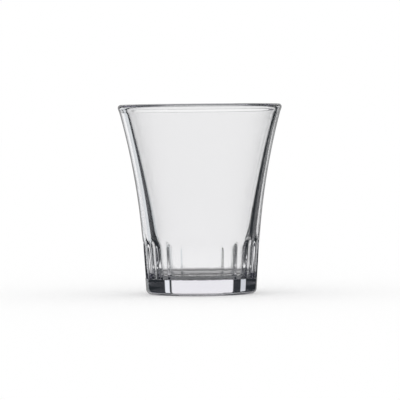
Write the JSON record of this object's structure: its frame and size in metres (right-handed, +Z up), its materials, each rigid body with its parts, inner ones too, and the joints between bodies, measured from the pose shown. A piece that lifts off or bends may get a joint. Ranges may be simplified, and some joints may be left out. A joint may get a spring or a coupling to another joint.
{
  "type": "cortado glass",
  "caption": "Small flared drinking glass of clear pressed glass, with round-topped flutes round its lower wall, a thick plain base and a rounded lip.",
  "frame": {"origin": "on the glass's axis, in the plane that it stands on", "axes": "+Z up along the glass's axis, -Y towards the picture's camera, +X to its right"},
  "size_m": [0.0692, 0.0692, 0.08],
  "materials": {
    "clear_glass": "clear, fire-polished soda-lime glass"
  },
  "bodies": {
    "root": {"tumbler": "clear_glass"}
  },
  "joints": []
}
